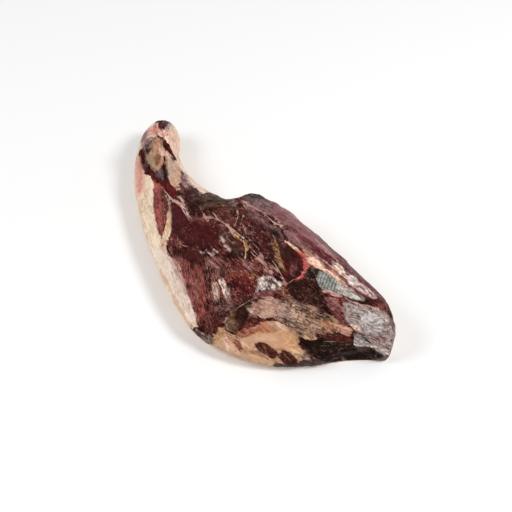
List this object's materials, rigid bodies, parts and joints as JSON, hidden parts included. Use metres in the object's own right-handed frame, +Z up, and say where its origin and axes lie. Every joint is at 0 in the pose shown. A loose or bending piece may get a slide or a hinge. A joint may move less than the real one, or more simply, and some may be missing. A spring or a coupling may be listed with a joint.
{
  "type": "boneless iberian ham",
  "caption": "Whole cured ham without its bone, with the shank left on, lying on its fat with the cut lean side up.",
  "frame": {"origin": "on the surface that the ham lies on, under the middle of its box", "axes": "+X along the ham from the shank to the butt, +Y across it towards the side where the lean is highest, +Z up from the fat to the cut lean"},
  "size_m": [0.52, 0.225, 0.101],
  "materials": {
    "lean": "moist dark red cured lean with pale veins of fat, dull film and bloom, satin to glossy",
    "fat": "cream to pinkish trimmed fat, waxy satin with faint streaks"
  },
  "bodies": {
    "root": {"lean_meat": "lean", "fat_cap": "fat"}
  },
  "joints": []
}
